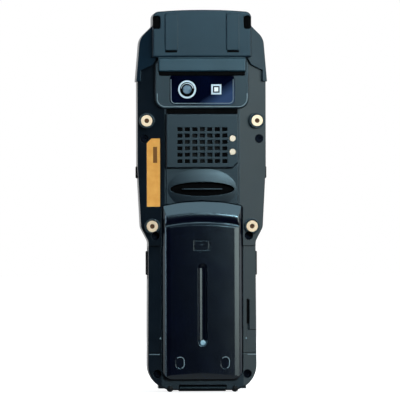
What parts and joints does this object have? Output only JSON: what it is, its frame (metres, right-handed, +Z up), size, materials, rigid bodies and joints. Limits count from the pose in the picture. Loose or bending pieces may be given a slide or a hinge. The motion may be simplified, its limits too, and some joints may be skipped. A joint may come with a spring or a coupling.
{
  "type": "portable data terminal",
  "caption": "Rugged handheld data terminal with a rubber-capped scan head, rear camera and speaker, removable battery pack, sprung keys and a hinged port lid.",
  "frame": {"origin": "under the middle of the terminal, at the lowest point of its lower end", "axes": "+Z up its length, +Y out of the display, +X to the right as seen from behind"},
  "size_m": [0.072, 0.034, 0.2095],
  "materials": {
    "case_plastic": "fine matt grain",
    "seal_rubber": "matt",
    "boot_rubber": "matt, soft sheen",
    "scan_glass": "clear red-tinted",
    "engine_metal": "black",
    "bracket_metal": "plain",
    "camera_glass": "dark, polished",
    "ring_metal": "polished",
    "lens_glass": "coated",
    "module_plastic": "matt",
    "flash_lamp": "diffusing",
    "mesh_fabric": "woven",
    "gold_contact": "gold plated, polished",
    "insert_brass": "turned",
    "screw_steel": "plain",
    "label_film": "satin film",
    "pack_plastic": "smooth satin to gloss",
    "tray_plastic": "matt",
    "cell_wrap": "pouch film",
    "board_laminate": "solder mask",
    "key_rubber": "matt",
    "display_glass": "polished",
    "lcd_stack": "matt",
    "key_cap": "satin",
    "scan_key_cap": "satin"
  },
  "bodies": {
    "terminal": {"rear_shell": "case_plastic", "front_shell": "case_plastic", "case_seal": "seal_rubber", "scan_head_cover": "case_plastic", "top_bumper": "boot_rubber", "scan_window": "scan_glass", "scan_engine": "engine_metal", "engine_bracket": "bracket_metal", "camera_window": "camera_glass", "camera_ring": "ring_metal", "camera_lens": "lens_glass", "camera_module": "module_plastic", "flash_frame": "ring_metal", "flash_led": "flash_lamp", "speaker": "module_plastic", "speaker_mesh": "mesh_fabric", "rear_contacts": "gold_contact", "threaded_inserts": "insert_brass", "case_screws": "screw_steel", "rating_label": "label_film", "battery_socket": "module_plastic", "catch_spring": "screw_steel", "lid_pin": "screw_steel", "port_socket": "bracket_metal", "main_board": "board_laminate", "vibration_motor": "bracket_metal", "backup_cell": "screw_steel", "microphone": "bracket_metal", "antenna": "board_laminate", "side_switches": "module_plastic", "display_window": "display_glass", "display_gasket": "seal_rubber", "lcd_panel": "lcd_stack", "keypad_mat": "key_rubber", "keypad_board": "board_laminate"},
    "battery_pack": {"battery_cover": "pack_plastic", "battery_tray": "tray_plastic", "battery_cells": "cell_wrap", "battery_board": "board_laminate", "battery_pads": "gold_contact"},
    "battery_catch": {"battery_catch": "tray_plastic"},
    "port_lid": {"port_lid": "boot_rubber"},
    "side_key_left": {"side_key_left": "key_rubber"},
    "side_key_right": {"side_key_right": "key_rubber"},
    "scan_key_left": {"scan_key_left": "key_rubber"},
    "scan_key_right": {"scan_key_right": "key_rubber"},
    "key_1": {"key_1": "key_cap"},
    "key_2": {"key_2": "key_cap"},
    "key_3": {"key_3": "key_cap"},
    "key_4": {"key_4": "key_cap"},
    "key_5": {"key_5": "key_cap"},
    "key_6": {"key_6": "key_cap"},
    "key_7": {"key_7": "key_cap"},
    "key_8": {"key_8": "key_cap"},
    "key_9": {"key_9": "key_cap"},
    "key_clear": {"key_clear": "key_cap"},
    "key_0": {"key_0": "key_cap"},
    "key_enter": {"key_enter": "key_cap"},
    "key_scan": {"key_scan": "scan_key_cap"},
    "key_nav": {"key_nav": "key_cap"}
  },
  "joints": [
    {"name": "battery_pack_out", "type": "slide", "parent": "terminal", "child": "battery_pack", "axis": [0, -1, 0], "range_m": [0, 0.025]},
    {"name": "battery_catch_lift", "type": "slide", "parent": "terminal", "child": "battery_catch", "axis": [0, 0, 1], "range_m": [0, 0.0012], "stiffness_N_per_m": 600, "deforming": ["catch_spring"]},
    {"name": "port_lid_hinge", "type": "hinge", "parent": "terminal", "child": "port_lid", "pos_m": [0, -0.0096, 0.002], "axis": [-1, 0, 0], "range_deg": [0, 110]},
    {"name": "side_key_left_press", "type": "slide", "parent": "terminal", "child": "side_key_left", "axis": [1, 0, 0], "range_m": [0, 0.0006], "stiffness_N_per_m": 1500},
    {"name": "scan_key_left_press", "type": "slide", "parent": "terminal", "child": "scan_key_left", "axis": [1, 0, 0], "range_m": [0, 0.0006], "stiffness_N_per_m": 1500},
    {"name": "side_key_right_press", "type": "slide", "parent": "terminal", "child": "side_key_right", "axis": [-1, 0, 0], "range_m": [0, 0.0006], "stiffness_N_per_m": 1500},
    {"name": "scan_key_right_press", "type": "slide", "parent": "terminal", "child": "scan_key_right", "axis": [-1, 0, 0], "range_m": [0, 0.0006], "stiffness_N_per_m": 1500},
    {"name": "key_1_press", "type": "slide", "parent": "terminal", "child": "key_1", "axis": [0, -1, 0], "range_m": [0, 0.0005], "stiffness_N_per_m": 1500},
    {"name": "key_2_press", "type": "slide", "parent": "terminal", "child": "key_2", "axis": [0, -1, 0], "range_m": [0, 0.0005], "stiffness_N_per_m": 1500},
    {"name": "key_3_press", "type": "slide", "parent": "terminal", "child": "key_3", "axis": [0, -1, 0], "range_m": [0, 0.0005], "stiffness_N_per_m": 1500},
    {"name": "key_4_press", "type": "slide", "parent": "terminal", "child": "key_4", "axis": [0, -1, 0], "range_m": [0, 0.0005], "stiffness_N_per_m": 1500},
    {"name": "key_5_press", "type": "slide", "parent": "terminal", "child": "key_5", "axis": [0, -1, 0], "range_m": [0, 0.0005], "stiffness_N_per_m": 1500},
    {"name": "key_6_press", "type": "slide", "parent": "terminal", "child": "key_6", "axis": [0, -1, 0], "range_m": [0, 0.0005], "stiffness_N_per_m": 1500},
    {"name": "key_7_press", "type": "slide", "parent": "terminal", "child": "key_7", "axis": [0, -1, 0], "range_m": [0, 0.0005], "stiffness_N_per_m": 1500},
    {"name": "key_8_press", "type": "slide", "parent": "terminal", "child": "key_8", "axis": [0, -1, 0], "range_m": [0, 0.0005], "stiffness_N_per_m": 1500},
    {"name": "key_9_press", "type": "slide", "parent": "terminal", "child": "key_9", "axis": [0, -1, 0], "range_m": [0, 0.0005], "stiffness_N_per_m": 1500},
    {"name": "key_clear_press", "type": "slide", "parent": "terminal", "child": "key_clear", "axis": [0, -1, 0], "range_m": [0, 0.0005], "stiffness_N_per_m": 1500},
    {"name": "key_0_press", "type": "slide", "parent": "terminal", "child": "key_0", "axis": [0, -1, 0], "range_m": [0, 0.0005], "stiffness_N_per_m": 1500},
    {"name": "key_enter_press", "type": "slide", "parent": "terminal", "child": "key_enter", "axis": [0, -1, 0], "range_m": [0, 0.0005], "stiffness_N_per_m": 1500},
    {"name": "key_scan_press", "type": "slide", "parent": "terminal", "child": "key_scan", "axis": [0, -1, 0], "range_m": [0, 0.0005], "stiffness_N_per_m": 1500},
    {"name": "key_nav_press", "type": "slide", "parent": "terminal", "child": "key_nav", "axis": [0, -1, 0], "range_m": [0, 0.0005], "stiffness_N_per_m": 1500}
  ]
}
